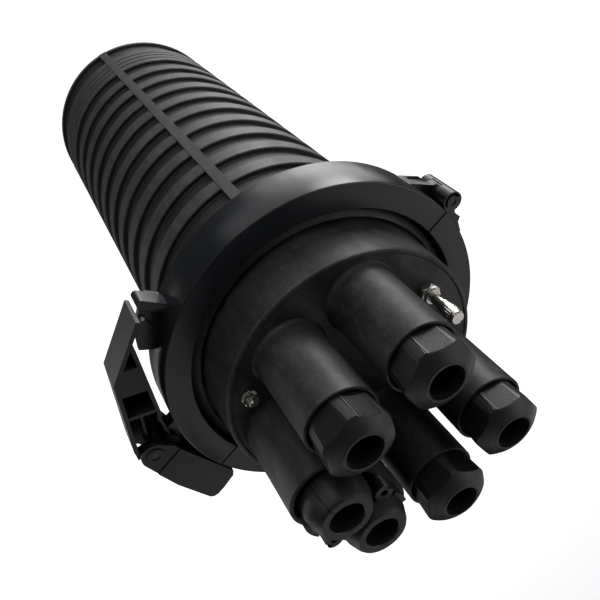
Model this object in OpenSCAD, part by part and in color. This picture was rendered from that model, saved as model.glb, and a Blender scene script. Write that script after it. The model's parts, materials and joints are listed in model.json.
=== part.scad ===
// Dome closure for cable splices: ribbed dome, base with four round ports and
// one oval port, two-part clamp with a hinge and a lever latch, screwed cable
// glands, gas valve, earth stud, and a frame with hinged splice trays inside.
// The closed end stands on z = 0 and the ports point along +Z.

/* [Dome] */
// Radius over the hoop ribs at the closed end
dome_r_end = 95.8; // [94:0.1:97]
// Radius over the hoop ribs at the clamp
dome_r_mouth = 99.6; // [98.5:0.1:99.9]
// Height of the hoop ribs above the skin
rib_h = 4.0; // [3:0.1:4.5]
// Thickness of the skin between the ribs
dome_wall = 3.4; // [2.6:0.1:3.8]
// Width of one hoop rib along the axis
rib_w = 15.5; // [12:0.5:18]
// Distance from one hoop rib to the next
rib_pitch = 33.6; // [33:0.1:34]
// Where the first hoop rib ends, from the closed end
rib_first = 119; // [116:1:121]
// Number of hoop ribs after the banded end
rib_n = 10; // [9:1:10]
// Width of each of the four lengthwise ribs
long_rib_w = 8; // [6:0.5:10]
// Direction of the first lengthwise rib
long_rib_dir = 160; // [150:1:170]

/* [Clamp] */
// Outer radius of the clamp
clamp_r = 120; // [119:0.5:121]
// Gap between the clamp halves at each joint
clamp_split = 1.4; // [0.8:0.1:1.8]

/* [Base] */
// Radius of the base at its front
base_r = 91.3; // [90.5:0.1:91.6]
// Outer radius of a round port at its rim
tube_r = 23.9; // [23.8:0.1:24.2]
// Outer radius of the oval port's round ends
oval_r = 25.5; // [24.8:0.1:25.6]
// Height of the port rims above the closed end
rim_z = 577; // [576:0.5:578]

/* [Glands] */
// Radius of the hole through a round gland nut
gland_hole_r = 11; // [9:0.1:11.3]
// Radius of the hole through a split gland nut
split_hole_r = 11.4; // [10.8:0.1:12]
// Ribs on each flat of a gland nut
grip_n = 12; // [8:1:13]

/* [Latch] */
// Radius of the latch and hinge pins
pin_r = 3.0; // [2.8:0.05:3.1]
// Radial play of a turning pin
pin_play = 0.05; // [0.03:0.01:0.08]

/* [Trays] */
// Ribs in each splice holder
holder_n = 8; // [4:1:10]

/* [Hidden] */
$fn = 96;

clamp_z0 = 438;
clamp_z1 = 475.4;
front_z = 510.2;
part_z = 456.5;

// port centres, clockwise from the left
A = [-55.4, -13.3];
B = [-41.6, 41.3];
C = [41.6, 41.3];
D = [55.4, -13.3];
// the two cables of the oval port, and the centres of its round ends
E = [-18.5, -55.4];
F = [18.5, -55.4];
OE = [-20.2, -55.9];
OF = [23.5, -55.9];
ROUND = [A, B, C, D];
// how far each gland is screwed home
home_a = -1;
home_b = -3;
home_c = -2.5;
home_d = -3.5;
valve_xy = [0, 70.6];
stud_xy = [-57.0, -50.8];
hinge_xy = [0, 128];
ful_xy = [-43, -122];
lp_xy = [-51, -133.5];
hk_xy = [11, -133.5];

function pol(r, a) = [r*cos(a), r*sin(a)];
function rr(z) = dome_r_end + (dome_r_mouth - dome_r_end)*z/clamp_z0;

module ring(ri, ro, z0, z1) {
  translate([0, 0, z0]) difference() {
    cylinder(h = z1 - z0, r = ro);
    translate([0, 0, -1]) cylinder(h = z1 - z0 + 2, r = ri);
  }
}
module rod(r, z0, z1) { translate([0, 0, z0]) cylinder(h = z1 - z0, r = r); }
module at(p) { translate([p[0], p[1], 0]) children(); }
module slab(pts, z0, z1) { translate([0, 0, z0]) linear_extrude(height = z1 - z0) polygon(pts); }
// straight bar between two points, seen along Z
module bar(p, q, t, z0, z1) {
  d = q - p;
  L = norm(d);
  translate([p[0], p[1], z0]) rotate([0, 0, atan2(d[1], d[0])])
    translate([0, -t/2, 0]) cube([L, t, z1 - z0]);
}

// ---------------------------------------------------------------- dome
function gap(z0, z1) = [
  [rr(z0), z0 - 0.7], [rr(z0) - 0.7, z0], [rr(z0) - rib_h + 0.5, z0 + 0.2],
  [rr(z0) - rib_h, z0 + 0.9],
  [rr(z1) - rib_h, z1 - 1.4], [rr(z1) - rib_h + 0.6, z1 - 0.5],
  [rr(z1) - 0.9, z1], [rr(z1), z1 + 1.1]];
function fine(z) = [[rr(z), z - 1.5], [rr(z) - 1.2, z - 0.7],
  [rr(z) - 1.2, z + 0.7], [rr(z), z + 1.5]];
function flat2(l) = [for (a = l) for (b = a) b];

module dome_body() {
  last = rib_first + (rib_n - 1)*rib_pitch;
  outer = concat(
    [[0, 0], [rr(0) - 4.5, 0], [rr(0) - 2.0, 0.7], [rr(0) - 0.6, 2.2], [rr(0), 4.4]],
    gap(8, 36), fine(51), fine(62), fine(73), gap(84, rib_first - rib_w),
    flat2([for (k = [0:rib_n - 2]) gap(rib_first + k*rib_pitch, rib_first + (k + 1)*rib_pitch - rib_w)]),
    [[rr(last), last - 0.7], [rr(last) - 0.7, last], [rr(last) - rib_h, last + 0.7],
     [rr(436) - rib_h, 434], [rr(438) - 0.6, 437.4], [100.1, 439.5], [100.3, 448.5],
     [109.5, 451.35], [110, 451.9], [110, part_z - 0.5]]);
  inner = [[92.6, part_z - 0.5], [92.2, 455], [rr(438) - rib_h - dome_wall, 438],
    [rr(12) - rib_h - dome_wall, 12], [rr(0) - rib_h - dome_wall - 3, 6],
    [rr(0) - rib_h - dome_wall - 9, 4.5], [0, 4.5]];
  rotate_extrude() polygon(concat(outer, inner));
}
module dome() {
  color([0.055, 0.055, 0.06]) union() {
    dome_body();
    intersection() {
      rotate_extrude() polygon([[rr(0) - rib_h - 0.6, 1.5], [rr(0) - 1.2, 1.5], [rr(0) + 0.5, 4.5],
        [rr(436) + 0.5, 434], [rr(436) - rib_h - 0.6, 437]]);
      union() for (k = [0:3]) rotate([0, 0, long_rib_dir + 90*k])
        translate([60, -long_rib_w/2, 0]) cube([50, long_rib_w, 440]);
    }
  }
}

// ---------------------------------------------------------------- base
module tube_out(p) {
  at(p) rotate_extrude() polygon([[0, 505], [25.8, 505], [25.6, front_z], [24.6, front_z + 0.9], [24.0, front_z + 2.2],
    [23.6, front_z + 4.5], [tube_r, rim_z - 0.4], [tube_r - 0.4, rim_z], [0, rim_z]]);
}
module tube_in(p) {
  at(p) { rod(15, 502, 537); rod(19.6, 536, rim_z + 1); rod(22.2, 565.5, rim_z + 1); }
}
module stadium(r, z0, z1) {
  at(OE) rod(r, z0, z1);
  at(OF) rod(r, z0, z1);
  slab([[OE[0], OE[1] - r], [OF[0], OE[1] - r], [OF[0], OE[1] + r], [OE[0], OE[1] + r]], z0, z1);
}
module base() {
  color([0.075, 0.075, 0.08]) difference() {
    union() {
      rotate_extrude() polygon([[0, 505.2], [86.0, 505.2], [87.4, 468], [86.6, 442], [90.9, 442],
        [91.4, 443], [91.4, part_z + 0.5], [95.5, part_z + 0.5], [95.5, 461.0], [101.5, 461.0],
        [101.5, part_z + 0.5], [110, part_z + 0.5], [110, 461.1], [109.5, 461.65], [100.3, 464.5],
        [100.3, 467.6], [99.6, 468.6], [94.6, 471.6], [93.8, 471.2], [93.8, 464.6], [92.4, 464.6],
        [92.0, 472], [base_r, 509.0], [base_r - 0.5, 510.4], [base_r - 1.4, 511], [base_r - 3.0, 511],
        [base_r - 3.8, front_z], [0, front_z]]);
      for (p = ROUND) tube_out(p);
      stadium(oval_r + 1.2, 505, front_z + 0.9);
      stadium(oval_r, 505, rim_z - 0.4);
      stadium(oval_r - 0.4, 570, rim_z);
      // posts for the inner frame
      for (a = [45:90:315]) rotate([0, 0, a]) translate([24, 0, 0]) rod(5.5, 490, 506);
      // pads under the valve and the stud
      at(valve_xy) rod(9.5, 500, 506);
      at(stud_xy) rod(7.5, 500, 506);
    }
    for (p = ROUND) tube_in(p);
    at(E) rod(14, 502, 537);
    at(F) rod(14, 502, 537);
    stadium(20.6, 536, rim_z + 1);
    stadium(23.0, 565.5, rim_z + 1);
    for (a = [45:90:315]) rotate([0, 0, a]) translate([24, 0, 0]) rod(1.7, 489, 501);
    at(valve_xy) rod(4.2, 490, 515);
    at(stud_xy) rod(2.7, 490, 515);
  }
}
module dome_seal() {
  color([0.16, 0.16, 0.17]) rotate_extrude() translate([98.5, part_z + 2]) circle(r = 2.45);
}

// ---------------------------------------------------------------- clamp
module clamp_ring() {
  rotate_extrude() polygon([[101.3, 439], [102.3, 438], [117.2, 438], [118.9, 438.6], [120, 440.4],
    [clamp_r, 474.3], [clamp_r - 0.35, 475.05], [clamp_r - 1.1, 475.4], [102.1, 475.4], [101.3, 474.6],
    [101.3, 464.7], [111.5, 461.55], [111.5, 451.45], [101.3, 448.3]]);
}
module half_space(s) {
  translate([s > 0 ? clamp_split/2 : -300 - clamp_split/2, -150, 400]) cube([300, 300, 120]);
}
module knuckle(r, z0, z1) { at(hinge_xy) rod(r, z0, z1); }
// catch bracket for the lever's free end
module catch_bracket() {
  rotate([0, 0, -158.4]) {
    translate([112, -3.0, 445]) cube([24.5, 6.0, 13]);
    translate([136.5, 0, 445]) cylinder(h = 13, r = 3.0);
    // rib down to the clamp's back edge
    slab([[112, -1.4], [130, -1.4], [130, 1.4], [112, 1.4]], 440, 446);
  }
  // web plate
  slab([pol(112, -158), pol(136.4, -158.5), pol(135.4, -150), pol(130.6, -143.2), pol(112, -142.4)], 451.6, 455.2);
  rotate([0, 0, -154]) translate([132.2, 0, 450]) rod(2.0, 1.6, 5.8);
}
module clamp_half_a() {
  color([0.06, 0.063, 0.07]) difference() {
    union() {
      intersection() { clamp_ring(); half_space(-1); }
      // hinge arm: a cored block behind, a plate to the middle knuckle in front
      difference() {
        slab([[-27.5, 113], [-25.4, 118], [-11.5, 127.2], [-9.2, 127.2], [-9.2, 117]], 442.0, 450.4);
        translate([-22, 119, 444.4]) cube([11.6, 12, 4.2]);
      }
      slab([[-27.5, 113], [-25.4, 118], [-9.5, 128.2], [-6.5, 131.6], [0, 129], [-2, 121.2], [-9, 117]], 450.4, 457.6);
      difference() {
        knuckle(7.3, 449.4, 459.6);
        // grip ribs round the middle knuckle
        for (a = [20:25:170]) at(hinge_xy) rotate([0, 0, a]) translate([7.4, 0, 449]) rod(0.7, 0, 12);
      }
      // fulcrum lug for the lever
      difference() {
        union() {
          at(ful_xy) rod(7.5, 453, 463.5);
          slab([[-50.5, -122], [-50.8, -106], [-28, -114.5], [-35.5, -122]], 453, 463.5);
        }
        rod(119, 440, 470);
      }
      difference() { catch_bracket(); rod(118.5, 430, 470); }
    }
    at(hinge_xy) rod(pin_r + pin_play, 430, 480);
    at(ful_xy) rod(pin_r, 440, 480);
    rotate([0, 0, -154]) translate([132.2, 0, 450]) rod(1.3, 0, 20);
  }
}
module clamp_half_b() {
  web = [[0.8, 116], [0.8, 128], [7.2, 128.2], [6.6, 125.8], [8.2, 124.2], [11.0, 124.2], [15.2, 124.9], [17.0, 121.6], [25.5, 118.2], [22, 112]];
  color([0.06, 0.063, 0.07]) difference() {
    union() {
      intersection() { clamp_ring(); half_space(1); }
      knuckle(7.3, 441.2, 448.8);
      knuckle(7.3, 460.2, 473.2);
      slab(web, 441.2, 448.8);
      slab(web, 460.2, 473.2);
      // hook that the latch pin pulls on
      slab([[0.8, -116], [0.8, -141], [2.6, -143.4], [13.6, -143.4], [15.2, -142], [15.2, -140.6], [13.8, -139.6],
        [9.4, -139.6], [7.4, -137.6], [7.4, -127], [14, -121.6], [22, -116]], 453, 465.5);
    }
    at(hinge_xy) rod(pin_r + pin_play, 430, 480);
    // crescent recess in the front knuckle
    intersection() {
      at(hinge_xy) ring(4.2, 6.2, 466, 480);
      slab([[hinge_xy[0] - 20, hinge_xy[1] + 9], [hinge_xy[0] + 1.5, hinge_xy[1] + 9], [hinge_xy[0] + 0.5, hinge_xy[1]],
        [hinge_xy[0] - 2.2, hinge_xy[1] - 12], [hinge_xy[0] - 20, hinge_xy[1] - 12]], 465, 481);
    }
  }
}
module hinge_pin() {
  color([0.6, 0.6, 0.62]) at(hinge_xy) rod(pin_r, 441.4, 472.4);
}

// ---------------------------------------------------------------- latch
module plate_end(z0, z1) {
  slab([[-72, -105.5], [-66, -110.5], [-48, -114.8], [-41, -114.8], [-35.6, -121], [-37, -126.5], [-45.5, -138.2],
    [-50, -140.9], [-56.8, -143.4], [-66, -137.6], [-84, -123.5], [-80, -112]], z0, z1);
  at(ful_xy) rod(7.3, z0, z1);
  at(lp_xy) rod(7.3, z0, z1);
}
module latch_handle() {
  b = 448.5;
  f = 475;
  color([0.075, 0.08, 0.09]) difference() {
    union() {
      // outer wall with its bend
      slab([[-132.5, -55.7], [-114.7, -99.4], [-66.5, -137.4], [-64.8, -135.2], [-112.4, -97.7], [-129.9, -54.6]], b, f);
      slab([[-68, -136.3], [-56.8, -143.4], [-55.4, -141], [-65, -134.6]], b, 470);
      // inner flange
      slab([[-119.2, -71.9], [-70.6, -103.3], [-72.0, -105.5], [-120.8, -74.2]], b, f);
      slab([[-70.6, -103.3], [-64.6, -108.6], [-66.4, -111], [-72.0, -105.5]], b, 470);
      // back web
      slab([[-128.0, -66.2], [-114.7, -99.4], [-66.5, -137.4], [-66, -112], [-70.6, -103.3], [-119.2, -71.9]], b, b + 2.4);
      // closed panel between the two pockets
      slab([[-117.6, -90.2], [-108.3, -78.9], [-92.6, -92.2], [-103.6, -104.6], [-114.0, -96.8]], b, f - 1.0);
      // cross rib and lengthwise rib
      bar([-90.0, -117.6], [-76.2, -100.9], 2.4, b, f - 0.5);
      bar([-81.5, -110.6], [-62.2, -126.2], 2.0, b, 466.5);
      bar([-63, -125.6], [-56.6, -130.8], 2.0, 464, 466.5);
      // front plate over the two pins
      slab([[-61.5, -140.2], [-57.5, -131.5], [-48.5, -126.5], [-47, -119.8], [-39, -118.4], [-37.2, -124],
        [-45.5, -138.2], [-50, -140.9], [-56.8, -143.4]], 464, 467.8);
      at(ful_xy) rod(5.2, 464, 467.8);
      bar([-66.2, -109.2], [-47.5, -118.8], 2.0, 464, 466);
      plate_end(b, 452.5);
    }
    at(ful_xy) rod(pin_r + pin_play, 440, 480);
    at(lp_xy) rod(pin_r + pin_play, 440, 480);
  }
}
module latch_link() {
  cheek = [[-58.2, -127.0], [-54.6, -124.7], [-45, -120.9], [14.6, -120.9], [17.6, -124.4], [19, -135.8],
    [19, -143.2], [17.6, -146.2], [14.6, -147.7], [-18, -147.7], [-43.4, -144.6], [-53.2, -143.2]];
  color([0.08, 0.085, 0.095]) difference() {
    union() {
      slab(cheek, 443.5, 448.0);
      at(lp_xy) rod(9.8, 443.5, 448.0);
      at(lp_xy) rod(9.8, 470.5, 474.0);
      slab(cheek, 470.5, 474.0);
      slab([[-38.7, -120.9], [14.6, -120.9], [17.6, -124.4], [19, -135.8], [19, -143.2], [17.6, -146.2], [14.6, -147.7],
        [-18, -147.7], [-38.7, -145.2]], 473, 475);
      slab([[-35, -145.7], [-18, -147.7], [14.6, -147.7], [17.6, -146.2], [19, -143.2], [19, -135.8], [16.6, -135.8],
        [16.6, -142.6], [15.4, -144.3], [13.4, -144.9], [-18, -144.9], [-35, -143.0]], 443.5, 474.5);
      at(lp_xy) rod(6.4, 470.5, 475);
    }
    at(lp_xy) rod(pin_r, 440, 480);
    at(hk_xy) rod(pin_r, 440, 474.0);
  }
}
module fulcrum_pin() { color([0.6, 0.6, 0.62]) at(ful_xy) rod(pin_r, 448.7, 468.6); }
module link_pin() { color([0.6, 0.6, 0.62]) at(lp_xy) rod(pin_r, 443.6, 474.2); }
module hook_pin() { color([0.6, 0.6, 0.62]) at(hk_xy) rod(pin_r, 443.6, 474.0); }
module lock_screw() {
  color([0.8, 0.8, 0.78]) rotate([0, 0, -154]) translate([132.2, 0, 0]) difference() {
    union() { rod(1.25, 451.8, 456.4); translate([0, 0, 455.8]) cylinder(h = 1.4, r1 = 1.7, r2 = 1.2); }
    translate([-3, -0.25, 456.7]) cube([6, 0.5, 2]);
  }
}

// ---------------------------------------------------------------- glands
module seal_body(p, home) {
  color([0.13, 0.13, 0.13]) at(p) rotate_extrude() polygon(concat([[10.6, 561 + home], [10.6, 537]],
    flat2([for (k = [0:3]) let (z = 537 + k*5) [[18.2, z], [19.3, z + 1.2], [19.3, z + 3.4], [18.2, z + 4.6]]]),
    [[18.2, 561 + home]]));
}
module seal_a() { seal_body(A, home_a); }
module seal_b() { seal_body(B, home_b); }
module seal_c() { seal_body(C, home_c); }
module seal_d() { seal_body(D, home_d); }
module plug_body(p, top) {
  color([0.10, 0.10, 0.11]) at(p) rotate_extrude() polygon([[0, 531], [9.4, 531], [10.5, 533], [10.5, top - 0.6],
    [9.9, top], [4.5, top], [4.5, top - 2.6], [0, top - 2.6]]);
}
module plug_a() { plug_body(A, 560.9 + home_a); }
module plug_b() { plug_body(B, 560.9 + home_b); }
module plug_c() { plug_body(C, 560.9 + home_c); }
module plug_d() { plug_body(D, 560.9 + home_d); }
module plug_e() { plug_body(E, 558.9); }
module plug_f() { plug_body(F, 558.9); }
module thrust_body(p, home) {
  color([0.14, 0.14, 0.15]) at(p) ring(11.6, 19.2, 561.1 + home, 566 + home);
}
module thrust_ring_a() { thrust_body(A, home_a); }
module thrust_ring_b() { thrust_body(B, home_b); }
module thrust_ring_c() { thrust_body(C, home_c); }
module thrust_ring_d() { thrust_body(D, home_d); }

// gland nut: skirt, hexagonal head that widens to the front, ribbed flats,
// plain corner bands, and a cone down to the cable hole
nut_lean = 2.2;
nut_flat = 19.75;
nut_rib = 1.13;
module nut_body(p, turn, home) {
  color([0.05, 0.05, 0.055]) at(p) translate([0, 0, home]) rotate([0, 0, turn]) difference() {
    union() {
      rod(19.2, 566.15, 576);
      rotate_extrude() polygon([[0, 573], [20.3, 573], [20.9, 573.8], [22.75, 595.8], [22.6, 596.7], [21.9, 597.3],
        [19.2, 599.4], [16.6, 601.0], [14.2, 602.1], [13.3, 602.5], [12.9, 603], [0, 603]]);
    }
    for (k = [0:5]) rotate([0, 0, 60*k]) translate([nut_flat, 0, 573]) rotate([0, nut_lean, 0]) {
      // flat, left slightly below the corner bands
      translate([0, -15, -1]) cube([8, 30, 40]);
      // gaps between the ribs
      for (i = [0:grip_n]) translate([-0.42, (i - grip_n/2)*nut_rib - nut_rib/4, 5.2]) cube([3, nut_rib/2, 40]);
      // parting slit beside the flat
      translate([-1.0, 8.4, 5.2]) cube([4, 0.5, 40]);
    }
    rod(gland_hole_r, 560, 610);
    // small step inside the mouth of the hole
    translate([0, 0, 599.6]) rod(gland_hole_r + 0.5, 0, 10);
  }
}
module nut_a() { nut_body(A, 183, home_a); }
module nut_b() { nut_body(B, 204, home_b); }
module nut_c() { nut_body(C, 147.5, home_c); }
module nut_d() { nut_body(D, 177.5, home_d); }

// ---------------------------------------------------------------- oval port
module oval_seal() {
  color([0.13, 0.13, 0.13]) difference() {
    stadium(20.3, 537, 559);
    at(E) rod(10.6, 530, 570);
    at(F) rod(10.6, 530, 570);
  }
}
module oval_plate() {
  color([0.14, 0.14, 0.15]) difference() {
    stadium(20.2, 559.1, 564);
    at(E) rod(12.4, 550, 570);
    at(F) rod(12.4, 550, 570);
  }
}
// split nut: turned = 0 beside a neighbour on its +X side, 180 on its -X side
module split_whole() {
  difference() {
    intersection() {
      rotate_extrude() polygon([[split_hole_r, 564.2], [17.4, 564.2], [17.4, 568], [20.4, 569], [21.3, 584], [20.6, 588.4],
        [18.0, 595.0], [17.3, 595.9], [17.0, 596.3], [16.5, 597], [12.1, 597], [split_hole_r, 596.3]]);
      translate([-40, -40, 560]) cube([58.2, 80, 60]);
    }
    // score along the joint of the two halves
    rotate([0, 0, 180]) translate([19.9, -0.3, 572]) cube([3, 0.6, 30]);
  }
}
ear_r = 6.2;
// stop and ear on one half of each split nut
module split_ears() {
  difference() {
    union() {
      intersection() {
        ring(16, 23.6, 578.2, 587.4);
        slab([[0, 0], pol(60, -112), pol(60, -78)], 570, 600);
      }
      rotate([0, 0, -51]) {
        translate([15, -4.2, 580]) cube([9.5, 8.4, 9.4]);
        translate([26.2, 0, 580]) cylinder(h = 9.4, r = ear_r);
      }
      intersection() {
        ring(16, 22.6, 578.2, 583.5);
        slab([[0, 0], pol(60, -80), pol(60, -50)], 570, 600);
      }
    }
    rod(17, 570, 610);
    rotate([0, 0, -51]) translate([26.2, 0, 575]) cylinder(h = 20, r = 2.5);
    // the ear's loop is open on the side facing the stop
    rotate([0, 0, -51]) translate([26.6, -9, 575]) rotate([0, 0, -20]) cube([2.6, 9, 20]);
  }
}
module half_cut(eared) { translate([-60, eared ? -60.16 : 0.16, 550]) cube([120, 60, 80]); }
module split_half(p, turn, eared) {
  color([0.05, 0.05, 0.055]) at(p) rotate([0, 0, turn]) union() {
    intersection() { split_whole(); half_cut(eared); }
    if (eared) split_ears();
  }
}
module split_nut_e_outer() { split_half(E, 0, true); }
module split_nut_e_inner() { split_half(E, 0, false); }
module split_nut_f_outer() { split_half(F, 180, false); }
module split_nut_f_inner() { split_half(F, 180, true); }

// ---------------------------------------------------------------- gas valve
module gas_valve() {
  color([0.78, 0.77, 0.73]) at(valve_xy) difference() {
    union() {
      rod(7.5, 497.4, 499.0);
      rod(4.1, 499, 517.4);
      rod(3.7, 517.4, 539.5);
    }
    rod(1.9, 522, 545);
    rod(1.2, 495, 525);
  }
}
module valve_nut() {
  color([0.8, 0.79, 0.75]) at(valve_xy) difference() {
    intersection() {
      translate([0, 0, front_z]) rotate([0, 0, 12]) cylinder(h = 5.4, r = 7.9, $fn = 6);
      rotate_extrude() polygon([[0, front_z], [7.0, front_z], [7.7, front_z + 1.2], [7.7, front_z + 3.4], [6.9, front_z + 4.7], [5.6, front_z + 5.4], [0, front_z + 5.4]]);
    }
    rod(4.15, 500, 520);
  }
}
module valve_washer() {
  color([0.84, 0.83, 0.8]) at(valve_xy) difference() {
    union() {
      ring(4.15, 5.5, front_z + 5.4, front_z + 7.4);
      // eye of the cap's retainer
      translate([5.6, 0, 0]) ring(1.7, 2.9, front_z + 6.0, front_z + 7.2);
    }
    rod(4.15, 500, 530);
  }
}
module valve_seal() {
  color([0.13, 0.13, 0.13]) at(valve_xy) ring(4.2, 7.5, 499.0, 500);
}
module valve_cap() {
  color([0.82, 0.81, 0.77]) at(valve_xy) difference() {
    rotate_extrude() polygon([[0, 527.6], [4.2, 527.6], [4.6, 528.3], [4.9, 539], [4.9, 543.0], [4.2, 544.0], [0, 544.0]]);
    rod(3.76, 527, 540.2);
    translate([-6, -0.4, 542.6]) cube([12, 0.8, 4]);
    for (k = [0:17]) rotate([0, 0, 20*k]) translate([5.0, 0, 531]) rod(0.3, 0, 9.5);
  }
}

// ---------------------------------------------------------------- earth stud
module earth_stud() {
  color([0.8, 0.79, 0.76]) at(stud_xy) rod(2.5, 484, 518.0);
}
module earth_nuts() {
  color([0.82, 0.81, 0.78]) at(stud_xy) {
    for (z = [front_z + 1.0, 494.0]) difference() {
      intersection() {
        translate([0, 0, z]) cylinder(h = 4.6, r = 4.9, $fn = 6);
        rotate_extrude() polygon([[0, z], [4.4, z], [4.9, z + 0.6], [4.9, z + 4.0], [4.4, z + 4.6], [0, z + 4.6]]);
      }
      rod(2.55, z - 1, z + 7);
    }
  }
}
module earth_washers() {
  color([0.82, 0.82, 0.8]) at(stud_xy) { ring(2.7, 5.4, front_z, front_z + 1.0); ring(2.7, 5.4, 499.0, 500); }
}

// ---------------------------------------------------------------- inside
// frame: round top plate and a spine plate that carries the trays
module tray_frame() {
  color([0.72, 0.73, 0.75]) difference() {
    union() {
      rod(36, 488, 490);
      translate([-30, 13, 478]) cube([60, 2, 12]);
      translate([-52, 13, 70]) cube([104, 2, 410]);
      // folded side flanges
      translate([-54, 7, 70]) cube([2, 8, 400]);
      translate([52, 7, 70]) cube([2, 8, 400]);
    }
    for (a = [45:90:315]) rotate([0, 0, a]) translate([24, 0, 0]) { rod(2.1, 480, 500); rod(3.8, 476, 488); }
    translate([-22, 10, 120]) cube([44, 8, 60]);
    translate([-22, 10, 220]) cube([44, 8, 60]);
    for (x = [-40, 40]) for (z = [395, 425]) translate([x, 5, z]) rotate([-90, 0, 0]) cylinder(h = 20, r = 1.7);
    for (x = [-42, 42]) for (z = [100, 330]) translate([x, 5, z]) rotate([-90, 0, 0]) cylinder(h = 20, r = 1.7);
    for (x = [-24, 0, 24]) translate([x, 5, 462]) rotate([-90, 0, 0]) cylinder(h = 20, r = 1.7);
  }
}
module screw_z(x, y, z, l) {
  // head below, shank upwards
  translate([x, y, z - 2.2]) cylinder(h = 2.2, r = 3.2);
  translate([x, y, z]) cylinder(h = l, r = 1.65);
}
module screw_y(x, y, z, l) {
  // head on the -Y side, shank along +Y
  translate([x, y - 2, z]) rotate([-90, 0, 0]) cylinder(h = 2, r = 3.0);
  translate([x, y, z]) rotate([-90, 0, 0]) cylinder(h = l, r = 1.6);
}
module frame_screws() {
  color([0.7, 0.7, 0.7]) for (a = [45:90:315]) screw_z(24*cos(a), 24*sin(a), 488, 12);
}
// stepped block that the trays hook into
module hinge_block() {
  color([0.86, 0.87, 0.88]) difference() {
    union() {
      translate([-46, 9, 388]) cube([92, 4, 46]);
      for (i = [0:2]) for (x = [-46, 38]) translate([x, -27 + 12*i, 388 + 14*(2 - i)]) cube([8, 36.1 - 12*i, 12]);
    }
    for (x = [-40, 40]) for (z = [395, 425]) translate([x, 5, z]) rotate([-90, 0, 0]) cylinder(h = 20, r = 1.65);
    for (i = [0:2]) translate([-50, -23 + 12*i, 394 + 14*(2 - i)]) rotate([0, 90, 0]) cylinder(h = 100, r = 2.15);
    for (x = [-40, 40]) for (z = [395, 425]) translate([x, -40, z]) rotate([-90, 0, 0]) cylinder(h = 49, r = 3.4);
  }
}
module block_screws() {
  color([0.7, 0.7, 0.7]) for (x = [-40, 40]) for (z = [395, 425]) screw_y(x, 9, z, 8);
}
// splice tray i hangs from step i of the block
module tray(i) {
  y0 = -27.6 + 12*i;
  zt = 394 + 14*(2 - i);
  color([0.88, 0.89, 0.9]) union() {
    difference() {
      translate([-56, y0, 92]) cube([112, 9, 282]);
      translate([-54.4, y0 - 1, 93.6]) cube([108.8, 8.4, 278.8]);
      // corners taken off
      for (x = [-1, 1]) translate([x*56, y0 - 1, 92]) rotate([0, 45, 0]) translate([-9, 0, -9]) cube([18, 20, 18]);
      for (x = [-1, 1]) translate([x*56, y0 - 1, 374]) rotate([0, 45, 0]) translate([-9, 0, -9]) cube([18, 20, 18]);
    }
    // winding spools
    for (z = [150, 300]) translate([0, y0 + 0.6, z]) rotate([-90, 0, 0]) difference() {
      cylinder(h = 7, r = 24);
      translate([0, 0, -1]) cylinder(h = 7, r = 22.6);
    }
    // splice holders
    for (k = [0:holder_n - 1]) translate([-26 + k*6.5, y0 + 1.4, 205]) cube([1.2, 6.2, 40]);
    // arms with hinge studs
    for (x = [-35.6, 29.6]) translate([x, y0 + 3.2, 372.5]) cube([6, 4, zt - 372.5]);
    for (x = [-35.6, 29.6]) translate([x, y0 + 4.6, zt]) rotate([0, 90, 0]) cylinder(h = 6, r = 4);
    translate([-45, y0 + 4.6, zt]) rotate([0, 90, 0]) cylinder(h = 12, r = 2);
    translate([33, y0 + 4.6, zt]) rotate([0, 90, 0]) cylinder(h = 12, r = 2);
  }
}
module splice_tray_1() { tray(0); }
module splice_tray_2() { tray(1); }
module splice_tray_3() { tray(2); }
module tray_lid() {
  color([0.8, 0.84, 0.88]) translate([-48, -29.4, 104]) cube([96, 1.7, 258]);
}
// basket for the loose tubes behind the spine
module slack_basket() {
  color([0.86, 0.87, 0.88]) difference() {
    union() {
      difference() {
        translate([-50, 15, 84]) cube([100, 30, 300]);
        translate([-48, 17, 86]) cube([96, 30, 296]);
      }
      for (z = [130, 335]) translate([0, 16, z]) rotate([-90, 0, 0]) difference() {
        cylinder(h = 26, r = 26);
        translate([0, 0, -1]) cylinder(h = 30, r = 24.4);
      }
    }
    for (x = [-42, 42]) for (z = [100, 330]) translate([x, 5, z]) rotate([-90, 0, 0]) cylinder(h = 20, r = 1.65);
  }
}
module basket_screws() {
  color([0.7, 0.7, 0.7]) for (x = [-42, 42]) for (z = [100, 330]) screw_y(x, 13, z, 6);
}
// clamps that hold the cables' strength members
module anchor_clamps() {
  color([0.68, 0.69, 0.7]) for (x = [-24, 0, 24]) difference() {
    translate([x - 8, 15, 454]) cube([16, 5, 16]);
    translate([x, 12, 462]) rotate([-90, 0, 0]) cylinder(h = 12, r = 1.7);
    translate([x + 4.6, 15.6, 450]) cylinder(h = 30, r = 1.4);
    translate([x - 4.6, 15.6, 450]) cylinder(h = 30, r = 1.4);
  }
}
module anchor_screws() {
  color([0.75, 0.75, 0.74]) for (x = [-24, 0, 24]) {
    translate([x, 20, 462]) rotate([-90, 0, 0]) cylinder(h = 2.4, r = 3.0);
    translate([x, 10.5, 462]) rotate([-90, 0, 0]) cylinder(h = 9.6, r = 1.65);
  }
}

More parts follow.
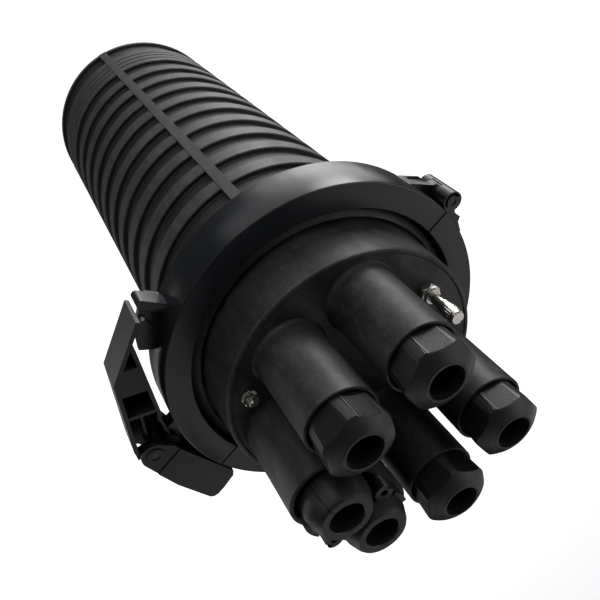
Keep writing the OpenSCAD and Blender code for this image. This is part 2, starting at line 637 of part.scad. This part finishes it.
dome();
base();
dome_seal();
clamp_half_a();
clamp_half_b();
hinge_pin();
latch_handle();
latch_link();
fulcrum_pin();
link_pin();
hook_pin();
lock_screw();
seal_a();
seal_b();
seal_c();
seal_d();
plug_a();
plug_b();
plug_c();
plug_d();
plug_e();
plug_f();
thrust_ring_a();
thrust_ring_b();
thrust_ring_c();
thrust_ring_d();
nut_a();
nut_b();
nut_c();
nut_d();
oval_seal();
oval_plate();
split_nut_e_outer();
split_nut_e_inner();
split_nut_f_outer();
split_nut_f_inner();
gas_valve();
valve_nut();
valve_washer();
valve_seal();
valve_cap();
earth_stud();
earth_nuts();
earth_washers();
tray_frame();
frame_screws();
hinge_block();
block_screws();
slack_basket();
basket_screws();
splice_tray_1();
splice_tray_2();
splice_tray_3();
tray_lid();
anchor_clamps();
anchor_screws();
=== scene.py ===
import bpy, bmesh, json, math
import numpy as np
from mathutils import Matrix, Vector


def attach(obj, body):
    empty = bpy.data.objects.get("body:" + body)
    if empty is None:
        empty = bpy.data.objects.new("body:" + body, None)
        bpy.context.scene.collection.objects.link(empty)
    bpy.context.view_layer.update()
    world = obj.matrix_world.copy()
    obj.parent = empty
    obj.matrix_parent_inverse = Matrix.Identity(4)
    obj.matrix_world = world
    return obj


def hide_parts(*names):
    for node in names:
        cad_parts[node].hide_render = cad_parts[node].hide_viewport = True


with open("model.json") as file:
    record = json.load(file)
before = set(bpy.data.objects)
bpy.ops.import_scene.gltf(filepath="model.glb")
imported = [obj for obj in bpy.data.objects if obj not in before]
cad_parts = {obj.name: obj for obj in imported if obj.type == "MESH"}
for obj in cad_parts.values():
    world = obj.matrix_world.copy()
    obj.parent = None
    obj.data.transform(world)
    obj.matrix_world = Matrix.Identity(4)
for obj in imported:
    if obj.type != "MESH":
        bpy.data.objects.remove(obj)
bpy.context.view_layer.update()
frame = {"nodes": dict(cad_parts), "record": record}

scene = bpy.context.scene
N = frame["nodes"]
REC = frame["record"]
SLOT = {s["node"]: s["material_slot"] for s in REC["subparts"]}
BODY = {n: b for b, ns in REC["behaviour"]["bodies"].items() for n in ns}


# ------------------------------------------------------------------ materials
def node(nt, kind, loc=(0, 0), **kw):
    n = nt.nodes.new(kind)
    n.location = loc
    for k, v in kw.items():
        setattr(n, k, v)
    return n


def link(nt, a, b):
    nt.links.new(a, b)


def ramp(nt, stops, loc=(0, 0)):
    r = node(nt, "ShaderNodeValToRGB", loc)
    cr = r.color_ramp
    cr.elements[0].position, cr.elements[0].color = stops[0]
    cr.elements[1].position, cr.elements[1].color = stops[-1]
    for p, c in stops[1:-1]:
        e = cr.elements.new(p)
        e.color = c
    return r


def plastic(name, dark, pale, cloud=22.0, cloud_stretch=(1, 1, 0.35), lo=0.42, hi=0.62, rough=(0.42, 0.58),
            grain=900.0, grain_h=0.00003, speckle=0.0, speckle_col=(0.12, 0.12, 0.125), spec=0.35, streak=0.0,
            bump_cloud=0.0, metallic=0.0, coat=0.0, coat_rough=0.3, crest_highlight=None, crest_highlight_col=(0.05, 0.05, 0.052), patch=0.0):
    """Moulded plastic or metal: cloudy colour, fine grain in the bump, roughness that varies with the cloud."""
    m = bpy.data.materials.new(name)
    m.use_nodes = True
    nt = m.node_tree
    nt.nodes.clear()
    out = node(nt, "ShaderNodeOutputMaterial", (900, 0))
    b = node(nt, "ShaderNodeBsdfPrincipled", (600, 0))
    link(nt, b.outputs[0], out.inputs[0])
    b.inputs["Specular IOR Level"].default_value = spec
    b.inputs["Metallic"].default_value = metallic
    b.inputs["Coat Weight"].default_value = coat
    b.inputs["Coat Roughness"].default_value = coat_rough
    tc = node(nt, "ShaderNodeTexCoord", (-1400, 0))
    mp = node(nt, "ShaderNodeMapping", (-1200, 200))
    mp.inputs["Scale"].default_value = cloud_stretch
    link(nt, tc.outputs["Object"], mp.inputs[0])
    nz = node(nt, "ShaderNodeTexNoise", (-1000, 200))
    nz.inputs["Scale"].default_value = cloud
    nz.inputs["Detail"].default_value = 7.0
    nz.inputs["Roughness"].default_value = 0.62
    link(nt, mp.outputs[0], nz.inputs["Vector"])
    cl = ramp(nt, [(lo, (0, 0, 0, 1)), (hi, (1, 1, 1, 1))], (-800, 200))
    link(nt, nz.outputs[0], cl.inputs[0])
    mix = node(nt, "ShaderNodeMix", (-100, 200), data_type="RGBA")
    mix.inputs[6].default_value = (*dark, 1)
    mix.inputs[7].default_value = (*pale, 1)
    link(nt, cl.outputs[0], mix.inputs[0])
    col = mix.outputs[2]
    fine = node(nt, "ShaderNodeTexNoise", (-1000, -150))
    fine.inputs["Scale"].default_value = grain
    fine.inputs["Detail"].default_value = 3.0
    link(nt, tc.outputs["Object"], fine.inputs["Vector"])
    if speckle > 0:
        sp = node(nt, "ShaderNodeTexNoise", (-1000, -400))
        sp.inputs["Scale"].default_value = grain * 0.42
        sp.inputs["Detail"].default_value = 2.0
        link(nt, mp.outputs[0], sp.inputs["Vector"])
        sr = ramp(nt, [(0.58, (0, 0, 0, 1)), (0.78, (1, 1, 1, 1))], (-800, -400))
        link(nt, sp.outputs[0], sr.inputs[0])
        amt = node(nt, "ShaderNodeMath", (-500, -400), operation="MULTIPLY")
        link(nt, sr.outputs[0], amt.inputs[0])
        link(nt, cl.outputs[0], amt.inputs[1])
        am2 = node(nt, "ShaderNodeMath", (-300, -400), operation="MULTIPLY")
        link(nt, amt.outputs[0], am2.inputs[0])
        am2.inputs[1].default_value = speckle
        m2 = node(nt, "ShaderNodeMix", (100, 100), data_type="RGBA")
        link(nt, am2.outputs[0], m2.inputs[0])
        link(nt, col, m2.inputs[6])
        m2.inputs[7].default_value = (*speckle_col, 1)
        col = m2.outputs[2]
    if patch > 0:
        # large soft patches where the surface has gone dull and pale
        pn = node(nt, "ShaderNodeTexNoise", (-1000, 500))
        pn.inputs["Scale"].default_value = cloud * 3.4
        pn.inputs["Detail"].default_value = 12.0
        pn.inputs["Roughness"].default_value = 0.86
        link(nt, mp.outputs[0], pn.inputs["Vector"])
        pr = ramp(nt, [(0.47, (0, 0, 0, 1)), (0.72, (1, 1, 1, 1))], (-800, 500))
        link(nt, pn.outputs[0], pr.inputs[0])
        pm = node(nt, "ShaderNodeMath", (-500, 500), operation="MULTIPLY")
        link(nt, pr.outputs[0], pm.inputs[0])
        pm.inputs[1].default_value = patch
        m3 = node(nt, "ShaderNodeMix", (200, 300), data_type="RGBA")
        link(nt, pm.outputs[0], m3.inputs[0])
        link(nt, col, m3.inputs[6])
        m3.inputs[7].default_value = (*speckle_col, 1)
        col = m3.outputs[2]
    if crest_highlight is not None:
        # painted highlight: the outermost faces of the ribs are painted paler, as where light catches them, and the
        # recesses keep the darker colour as painted shade; the mask is the distance below the cone they touch
        r_end, r_mouth, z_mouth = crest_highlight
        sx = node(nt, "ShaderNodeSeparateXYZ", (-1200, 800))
        link(nt, tc.outputs["Object"], sx.inputs[0])
        xy = node(nt, "ShaderNodeCombineXYZ", (-1050, 800))
        link(nt, sx.outputs[0], xy.inputs[0])
        link(nt, sx.outputs[1], xy.inputs[1])
        ln = node(nt, "ShaderNodeVectorMath", (-900, 800), operation="LENGTH")
        link(nt, xy.outputs[0], ln.inputs[0])
        cone = node(nt, "ShaderNodeMath", (-900, 1000), operation="MULTIPLY_ADD")
        link(nt, sx.outputs[2], cone.inputs[0])
        cone.inputs[1].default_value = (r_mouth - r_end) / z_mouth
        cone.inputs[2].default_value = r_end
        sub = node(nt, "ShaderNodeMath", (-700, 900), operation="SUBTRACT")
        link(nt, ln.outputs["Value"], sub.inputs[0])
        link(nt, cone.outputs[0], sub.inputs[1])
        crest_highlight_mask = node(nt, "ShaderNodeMapRange", (-500, 900))
        crest_highlight_mask.inputs["From Min"].default_value = -0.0014
        crest_highlight_mask.inputs["From Max"].default_value = -0.0003
        link(nt, sub.outputs[0], crest_highlight_mask.inputs["Value"])
        sc = node(nt, "ShaderNodeTexNoise", (-700, 700))
        sc.inputs["Scale"].default_value = 120.0
        sc.inputs["Detail"].default_value = 6.0
        sc.inputs["Roughness"].default_value = 0.7
        link(nt, mp.outputs[0], sc.inputs["Vector"])
        sm = node(nt, "ShaderNodeMapRange", (-500, 700))
        sm.inputs["From Min"].default_value = 0.35
        sm.inputs["From Max"].default_value = 0.62
        sm.inputs["To Min"].default_value = 0.45
        link(nt, sc.outputs[0], sm.inputs["Value"])
        mm = node(nt, "ShaderNodeMath", (-300, 800), operation="MULTIPLY")
        link(nt, crest_highlight_mask.outputs[0], mm.inputs[0])
        link(nt, sm.outputs[0], mm.inputs[1])
        m4 = node(nt, "ShaderNodeMix", (300, 300), data_type="RGBA")
        link(nt, mm.outputs[0], m4.inputs[0])
        link(nt, col, m4.inputs[6])
        m4.inputs[7].default_value = (*crest_highlight_col, 1)
        col = m4.outputs[2]
    link(nt, col, b.inputs["Base Color"])
    mr = node(nt, "ShaderNodeMapRange", (100, -150))
    mr.inputs["From Min"].default_value = 0.3
    mr.inputs["From Max"].default_value = 0.7
    mr.inputs["To Min"].default_value = rough[1]
    mr.inputs["To Max"].default_value = rough[0]
    link(nt, nz.outputs[0], mr.inputs["Value"])
    link(nt, mr.outputs[0], b.inputs["Roughness"])
    bp = node(nt, "ShaderNodeBump", (300, -350))
    bp.inputs["Strength"].default_value = 1.0
    bp.inputs["Distance"].default_value = grain_h
    link(nt, fine.outputs[0], bp.inputs["Height"])
    nrm = bp.outputs[0]
    if streak > 0:
        ms = node(nt, "ShaderNodeMapping", (-1200, -650))
        ms.inputs["Scale"].default_value = (1, 1, 0.02)
        link(nt, tc.outputs["Object"], ms.inputs[0])
        st = node(nt, "ShaderNodeTexNoise", (-1000, -650))
        st.inputs["Scale"].default_value = 420.0
        st.inputs["Detail"].default_value = 4.0
        link(nt, ms.outputs[0], st.inputs["Vector"])
        b2 = node(nt, "ShaderNodeBump", (450, -500))
        b2.inputs["Distance"].default_value = streak
        link(nt, st.outputs[0], b2.inputs["Height"])
        link(nt, nrm, b2.inputs["Normal"])
        nrm = b2.outputs[0]
    if bump_cloud > 0:
        b3 = node(nt, "ShaderNodeBump", (450, -650))
        b3.inputs["Distance"].default_value = bump_cloud
        link(nt, nz.outputs[0], b3.inputs["Height"])
        link(nt, nrm, b3.inputs["Normal"])
        nrm = b3.outputs[0]
    link(nt, nrm, b.inputs["Normal"])
    return m


DOME_R_END, DOME_R_MOUTH, DOME_Z_MOUTH = 0.0958, 0.0996, 0.438
M = {}
# the dome's rib crests get a painted highlight colour, paler than the recesses, which stay darker as painted shade
M["housing"] = plastic("housing_plastic", (0.0085, 0.009, 0.0105), (0.018, 0.018, 0.020), cloud=26, rough=(0.44, 0.6),
                       grain=1500, grain_h=0.00004, spec=0.4, crest_highlight=(DOME_R_END, DOME_R_MOUTH, DOME_Z_MOUTH),
                       crest_highlight_col=(0.056, 0.055, 0.053))
M["base"] = plastic("base_plastic", (0.0095, 0.0095, 0.0108), (0.031, 0.030, 0.0335), cloud=30, cloud_stretch=(1, 1, 0.6),
                    lo=0.38, hi=0.62, rough=(0.38, 0.58), grain=1300, grain_h=0.00006, speckle=0.65, spec=0.36,
                    speckle_col=(0.090, 0.087, 0.092), patch=0.5)
M["clamp"] = plastic("clamp_plastic", (0.0085, 0.0100, 0.0126), (0.0128, 0.0146, 0.0176), cloud=14, lo=0.3, hi=0.75, rough=(0.25, 0.32),
                     grain=2200, grain_h=0.000012, spec=0.42)
M["lever"] = plastic("lever_plastic", (0.011, 0.0122, 0.0145), (0.018, 0.0192, 0.0220), cloud=18, lo=0.3, hi=0.75, rough=(0.38, 0.48),
                     grain=2000, grain_h=0.00002, spec=0.42)
M["gland"] = plastic("gland_plastic", (0.0095, 0.0100, 0.0112), (0.0155, 0.0160, 0.0175), cloud=30, lo=0.35, hi=0.7, rough=(0.38, 0.48),
                     grain=2000, grain_h=0.00002, spec=0.42)
M["gland_inner"] = plastic("inner_ring_plastic", (0.010, 0.010, 0.011), (0.016, 0.016, 0.017), cloud=40, rough=(0.45, 0.6),
                           grain=1600, grain_h=0.00003)
M["plug"] = plastic("plug_rubber", (0.006, 0.006, 0.007), (0.011, 0.011, 0.012), cloud=60, rough=(0.55, 0.7), grain=1800,
                    grain_h=0.00004, spec=0.3)
M["pin"] = plastic("blackened_steel", (0.012, 0.012, 0.0125), (0.022, 0.022, 0.023), cloud=90, rough=(0.3, 0.42), grain=2600,
                   grain_h=0.00001, spec=0.5)
M["seal"] = plastic("seal_rubber", (0.012, 0.012, 0.013), (0.02, 0.02, 0.021), cloud=60, rough=(0.6, 0.75), grain=1800,
                    grain_h=0.00004, spec=0.3)
M["steel"] = plastic("steel", (0.42, 0.42, 0.43), (0.56, 0.56, 0.57), cloud=120, rough=(0.24, 0.36), grain=3000, grain_h=0.00001,
                     metallic=1.0)
M["nickel"] = plastic("nickel_plate", (0.60, 0.575, 0.53), (0.80, 0.775, 0.72), cloud=220, cloud_stretch=(1, 1, 1), lo=0.35, hi=0.65,
                      rough=(0.16, 0.30), grain=3200, grain_h=0.000004, metallic=1.0)
M["sheet"] = plastic("sheet_aluminium", (0.55, 0.56, 0.57), (0.66, 0.67, 0.68), cloud=60, rough=(0.3, 0.42), grain=2500,
                     grain_h=0.00001, metallic=1.0, streak=0.00002)
M["tray"] = plastic("tray_plastic", (0.70, 0.72, 0.74), (0.78, 0.80, 0.81), cloud=30, rough=(0.35, 0.5), grain=1800, grain_h=0.00002)
M["lid"] = plastic("lid_film", (0.55, 0.60, 0.66), (0.62, 0.68, 0.74), cloud=30, rough=(0.12, 0.2), grain=1800, grain_h=0.00001)


def dress(ob, mat, angle=32):
    me = ob.data
    me.materials.clear()
    me.materials.append(mat)
    me.polygons.foreach_set("material_index", np.zeros(len(me.polygons), np.int32))
    if not me.has_custom_normals:
        me.shade_smooth()
        me.set_sharp_from_angle(angle=math.radians(angle))


OWN = {"base": "base", "link_pin": "pin", "fulcrum_pin": "pin", "hook_pin": "pin", "hinge_pin": "pin"}
for n, ob in N.items():
    dress(ob, M[OWN.get(n, SLOT[n])])


# ------------------------------------------------------------------ softened edges
def soften(n, width, segs=2, angle=30, mat=None):
    """A copy of a CAD node with its sharp edges rounded by a small radius. It stands for the node."""
    src = N[n]
    bm = bmesh.new()
    bm.from_mesh(src.data)
    bmesh.ops.remove_doubles(bm, verts=bm.verts, dist=2e-6)
    bmesh.ops.dissolve_limit(bm, angle_limit=math.radians(0.4), verts=bm.verts, edges=bm.edges)
    me = bpy.data.meshes.new(n + "_soft")
    bm.normal_update()
    bm.to_mesh(me)
    bm.free()
    me.shade_smooth()
    me.set_sharp_from_angle(angle=math.radians(angle))
    ob = bpy.data.objects.new(n + "_soft", me)
    scene.collection.objects.link(ob)
    md = ob.modifiers.new("edge", "BEVEL")
    md.width = width
    md.segments = segs
    md.limit_method = "ANGLE"
    md.angle_limit = math.radians(angle)
    md.harden_normals = True
    md.use_clamp_overlap = True
    md.miter_outer = "MITER_ARC"
    dg = bpy.context.evaluated_depsgraph_get()
    new = bpy.data.meshes.new_from_object(ob.evaluated_get(dg))
    ob.modifiers.clear()
    ob.data = new
    new.materials.clear()
    new.materials.append(mat or M[SLOT[n]])
    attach(ob, BODY[n])
    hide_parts(n)
    return ob


for n, w in {"latch_handle": 0.00045, "latch_link": 0.0005, "clamp_half_a": 0.0005, "clamp_half_b": 0.0005,
             "split_nut_e_outer": 0.0003, "split_nut_e_inner": 0.0003, "split_nut_f_outer": 0.0003, "split_nut_f_inner": 0.0003,
             "valve_nut": 0.0002, "valve_washer": 0.0002, "earth_nuts": 0.0002, "earth_washers": 0.0002}.items():
    soften(n, w)


def threaded(n, pitch, depth, cols=40, per=8):
    """A rod with real thread turns, inside the CAD rod it stands for."""
    co = np.array([N[n].matrix_world @ v.co for v in N[n].data.vertices])
    lo, hi = co.min(0), co.max(0)
    cx, cy = (lo[:2] + hi[:2]) / 2
    r = (hi[0] - lo[0]) / 2 - 0.00001
    rows = int((hi[2] - lo[2]) / pitch * per) + 1
    zs = np.linspace(lo[2], hi[2], rows)
    an = np.linspace(0, 2 * np.pi, cols, endpoint=False)
    ph = (zs[:, None] / pitch - an[None, :] / (2 * np.pi)) % 1.0
    tri = np.abs(ph * 2 - 1)
    rad = r - depth * np.clip(1.25 * tri - 0.12, 0, 1)
    lead = np.minimum(1, np.minimum(zs - lo[2], hi[2] - zs) / (pitch * 0.8))[:, None]
    rad = np.minimum(rad, r - depth * (1 - lead))
    X = cx + rad * np.cos(an)
    Y = cy + rad * np.sin(an)
    Z = np.repeat(zs[:, None], cols, 1)
    V = np.stack([X, Y, Z], -1).reshape(-1, 3).tolist()
    F = [(i * cols + j, i * cols + (j + 1) % cols, (i + 1) * cols + (j + 1) % cols, (i + 1) * cols + j)
         for i in range(rows - 1) for j in range(cols)]
    F.append(tuple(reversed(range(cols))))
    F.append(tuple((rows - 1) * cols + j for j in range(cols)))
    me = bpy.data.meshes.new(n + "_thread")
    me.from_pydata(V, [], F)
    me.materials.append(M[SLOT[n]])
    me.shade_smooth()
    me.set_sharp_from_angle(angle=math.radians(50))
    ob = bpy.data.objects.new(n + "_thread", me)
    scene.collection.objects.link(ob)
    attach(ob, BODY[n])
    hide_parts(n)
    return ob


threaded("earth_stud", 0.0008, 0.00042)

# ------------------------------------------------------------------ camera
rv = np.array([-0.133891, 2.539241, 0.703141])
t = np.array([-187.1975, -211.0167, 850.4015])
th = np.linalg.norm(rv)
k = rv / th
K = np.array([[0, -k[2], k[1]], [k[2], 0, -k[0]], [-k[1], k[0], 0]])
R = np.eye(3) + np.sin(th) * K + (1 - np.cos(th)) * K @ K
a = np.radians(147.4)
R = R @ np.array([[np.cos(a), -np.sin(a), 0], [np.sin(a), np.cos(a), 0], [0, 0, 1]])
c = -R.T @ t / 1000
cam = bpy.data.objects.new("camera", bpy.data.cameras.new("camera"))
scene.collection.objects.link(cam)
cam.matrix_world = Matrix([[R[0][i], -R[1][i], -R[2][i], c[i]] for i in range(3)] + [[0, 0, 0, 1]])
cam.data.sensor_width = 36
cam.data.lens = 708.436 / 600 * 36
cam.data.clip_start = 0.02
cam.data.clip_end = 30
scene.camera = cam

# ------------------------------------------------------------------ floor, light
fl = bmesh.new()
bmesh.ops.create_circle(fl, cap_ends=True, segments=96, radius=6.0)
fme = bpy.data.meshes.new("floor")
fl.to_mesh(fme)
fl.free()
floor = bpy.data.objects.new("floor", fme)
scene.collection.objects.link(floor)
floor.location = (0, 0, -0.0005)
fm = bpy.data.materials.new("floor_pale")
fm.use_nodes = True
nt = fm.node_tree
b = nt.nodes["Principled BSDF"]
fn = node(nt, "ShaderNodeTexNoise", (-600, 0))
fn.inputs["Scale"].default_value = 3.0
fr = ramp(nt, [(0.3, (0.90, 0.90, 0.90, 1)), (0.7, (0.92, 0.92, 0.92, 1))], (-400, 0))
link(nt, fn.outputs[0], fr.inputs[0])
link(nt, fr.outputs[0], b.inputs["Base Color"])
b.inputs["Roughness"].default_value = 0.9
b.inputs["Specular IOR Level"].default_value = 0.1
b.inputs["Emission Color"].default_value = (1, 1, 1, 1)
b.inputs["Emission Strength"].default_value = 0.86
fme.materials.append(fm)
# the floor is seen, but throws no light up at the dark object, as with a cut-out backdrop
floor.visible_diffuse = False
floor.visible_glossy = False
floor.visible_shadow = False

# a pale backdrop behind the floor, for views from low angles
bm = bmesh.new()
bmesh.ops.create_uvsphere(bm, u_segments=64, v_segments=32, radius=5.9)
bme = bpy.data.meshes.new("backdrop")
bm.to_mesh(bme)
bm.free()
bme.shade_smooth()
backdrop = bpy.data.objects.new("backdrop", bme)
scene.collection.objects.link(backdrop)
bmat = bpy.data.materials.new("backdrop_pale")
bmat.use_nodes = True
nt = bmat.node_tree
b = nt.nodes["Principled BSDF"]
gn = node(nt, "ShaderNodeTexNoise", (-600, 0))
gn.inputs["Scale"].default_value = 1.5
gr = ramp(nt, [(0.3, (0.97, 0.97, 0.97, 1)), (0.7, (1.0, 1.0, 1.0, 1))], (-400, 0))
link(nt, gn.outputs[0], gr.inputs[0])
link(nt, gr.outputs[0], b.inputs["Emission Color"])
b.inputs["Base Color"].default_value = (0.0, 0.0, 0.0, 1)
b.inputs["Specular IOR Level"].default_value = 0.0
b.inputs["Emission Strength"].default_value = 1.0
bme.materials.append(bmat)
backdrop.visible_diffuse = False
backdrop.visible_glossy = False
backdrop.visible_shadow = False
backdrop.visible_transmission = False

w = bpy.data.worlds.new("studio")
scene.world = w
w.use_nodes = True
bg = w.node_tree.nodes["Background"]
bg.inputs[0].default_value = (1.0, 1.0, 1.0, 1)
bg.inputs[1].default_value = 0.038


def area(name, az, el, dist, size, power, target=(0, 0, 0.42), colour=(1, 1, 1)):
    d = bpy.data.lights.new(name, "AREA")
    d.shape = "RECTANGLE"
    d.size, d.size_y = size
    d.energy = power
    d.color = colour
    o = bpy.data.objects.new(name, d)
    scene.collection.objects.link(o)
    e, z = math.radians(el), math.radians(az)
    v = Vector((math.cos(e) * math.cos(z), math.cos(e) * math.sin(z), math.sin(e)))
    o.location = Vector(target) + v * dist
    o.rotation_euler = (-v).to_track_quat("-Z", "Y").to_euler()
    o.visible_camera = False
    return o


for name, az, el, size, power in [
        ("key", 106, -24, 0.55, 10.5), ("key_soft", 118, -5, 1.0, 3.5), ("low", 90, -48, 0.8, 5.2), ("low_left", 114, -48, 0.9, 5.2),
        ("left", 155, 10, 0.9, 4.2), ("left_low", 155, -30, 0.9, 2.2), ("left_back", 200, 10, 0.9, 2.4),
        ("back", 245, -30, 0.9, 3.0), ("right_high", 65, 45, 0.9, 3.4), ("right", 65, 10, 0.9, 1.2),
        ("far_right_high", 20, 45, 0.9, 1.5), ("far_right", 20, 10, 0.9, 1.4), ("front_high", 335, 45, 0.9, 1.3),
        ("front", 290, 10, 0.9, 2.5), ("front_low", 290, -30, 0.9, 1.5), ("front_left_high", 290, 45, 0.9, 0.9),
        ("top", 110, 45, 0.9, 1.0)]:
    area(name, az, el, 1.5, (size, size), power)

scene.view_settings.view_transform = "Standard"
scene.view_settings.look = "None"
scene.view_settings.exposure = 0.0
